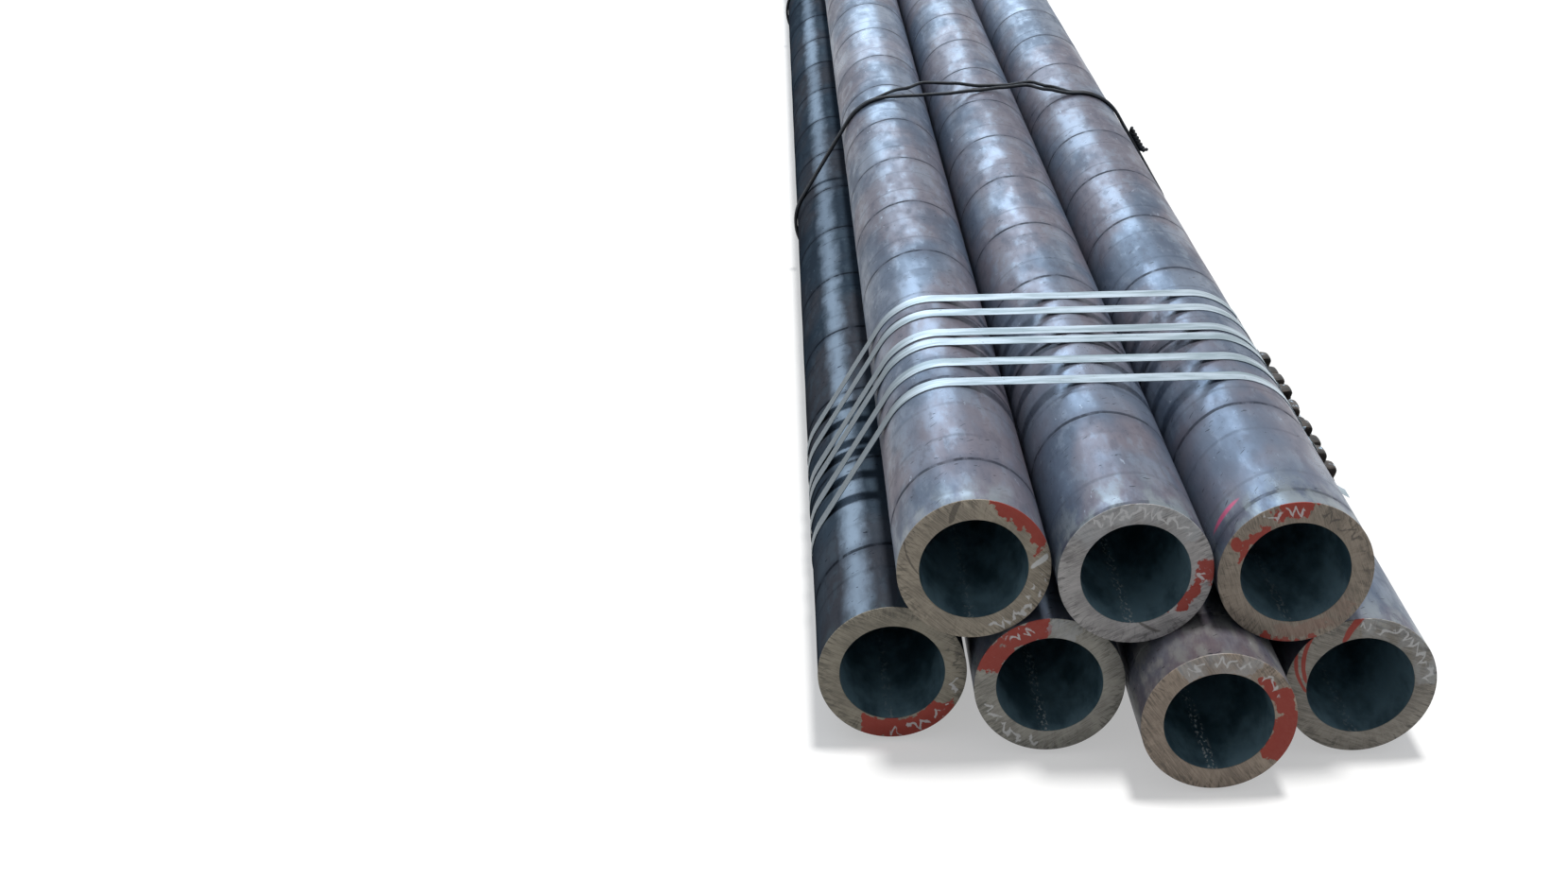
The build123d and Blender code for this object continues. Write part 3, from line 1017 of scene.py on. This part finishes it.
def crimp_bite(along, middle):
    """How deep a crimp bites at a place along the seal: 1 at its middle, and 0 past its ends."""
    off = abs(along - middle)
    return math.cos(math.pi / 2 * off / CRIMP_HALF) if off < CRIMP_HALF else 0.0


def seal_section(half_width, low, high):
    """A seal's folded section, from its open seam below round its back to the seam again."""
    half = [
        (SEAL_SEAM, low),
        (0.6 * half_width, low),
        (half_width - SEAL_CORNER, low),
        (half_width, low + SEAL_CORNER),
        (half_width, high - SEAL_CORNER),
        (half_width - SEAL_CORNER, high),
        (0.6 * half_width, high + 0.625 * SEAL_CROWN),
        (0.0, high + SEAL_CROWN),
    ]
    return half + [(-across, above) for across, above in reversed(half[:-1])]


def thinned(section, depth):
    """A section moved inwards by a depth, square to its own line."""
    moved = []
    for spot, (across, above) in enumerate(section):
        before = Vector(section[max(spot - 1, 0)])
        after = Vector(section[min(spot + 1, len(section) - 1)])
        ahead = (after - before).normalized()
        moved.append((across - ahead.y * depth, above + ahead.x * depth))
    return moved


def shell_faces(steps, count):
    """Faces between an outer and an inner sheet of points, closed along their four edges."""
    under = (steps + 1) * count
    faces = []
    for step in range(steps):
        for spot in range(count - 1):
            a, b = step * count + spot, (step + 1) * count + spot
            faces.append((a, a + 1, b + 1, b))
            faces.append((under + a, under + b, under + b + 1, under + a + 1))
        for spot in (0, count - 1):
            a, b = step * count + spot, (step + 1) * count + spot
            side = (a, b, under + b, under + a)
            faces.append(side if spot == 0 else side[::-1])
    for step in (0, steps):
        for spot in range(count - 1):
            a = step * count + spot
            side = (a, under + a, under + a + 1, a + 1)
            faces.append(side if step == 0 else side[::-1])
    return faces


def make_seal(end, place, skin):
    """A folded sleeve round the strap's lap, crimped twice, with waves in its back and its edges."""
    node = f"seal_{end}_{place}"
    low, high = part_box(node)
    middle = (low.y + high.y) / 2
    foot, down, out = right_slope()
    rise = seal_rise(end, place)
    rng = random.Random(SEAL_SEED + place + (REAR_SEED_STEP if end == "rear" else 0))
    crests = [rng.uniform(0.8, 1.25) for _ in range(2)]
    notches = [rng.uniform(0.8, 1.0) for _ in range(2)]
    outer, inner = [], []
    for step in range(SEAL_STEPS + 1):
        along = SEAL_LENGTH * (step / SEAL_STEPS - 0.5)
        bites = [crimp_bite(along, share * SEAL_LENGTH) for share in CRIMP_PLACES]
        bulge = bites[0] * crests[0] + bites[1] * crests[1]
        notch = bites[0] * notches[0] + bites[1] * notches[1]
        from_mouth = 1 - abs(2 * along / SEAL_LENGTH)
        flare = MOUTH_FLARE * max(0.0, MOUTH_SHARE - from_mouth) / MOUTH_SHARE
        half_width = (high.y - low.y) / 2 - CRIMP_DEPTH * notch
        back = SEAL_BACK + CRIMP_CREST * bulge + flare
        section = seal_section(half_width, SEAL_UNDER - flare, back)
        for layer, depth in ((outer, 0.0), (inner, SEAL_THICKNESS)):
            for across, above in thinned(section, depth):
                at = foot + down * (rise + along) + out * above
                layer.append((at.x, middle + across, at.y))
    faces = shell_faces(SEAL_STEPS, len(section))
    piece = mesh_object(f"{node}_sleeve", outer + inner, faces, [skin], sharp=45)
    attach(piece, "root")
    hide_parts(node)


# Build everything
add_camera()
for number, name in enumerate(BOTTOM_PIPES + TOP_PIPES):
    make_pipe(name, number)
seal_skin = seal_sheet()
wire_skin = black_wire()
for end in ("front", "rear"):
    for place in range(1, STRAP_COUNT + 1):
        make_strap(end, place)
        make_seal(end, place, seal_skin)
    make_tie(end, wire_skin)

bpy.ops.mesh.primitive_plane_add(size=FLOOR_SIZE)
floor = bpy.context.active_object
floor.name = "floor"
floor.data.materials.append(floor_paint())
light_studio()
bpy.context.scene.view_settings.view_transform = "Standard"
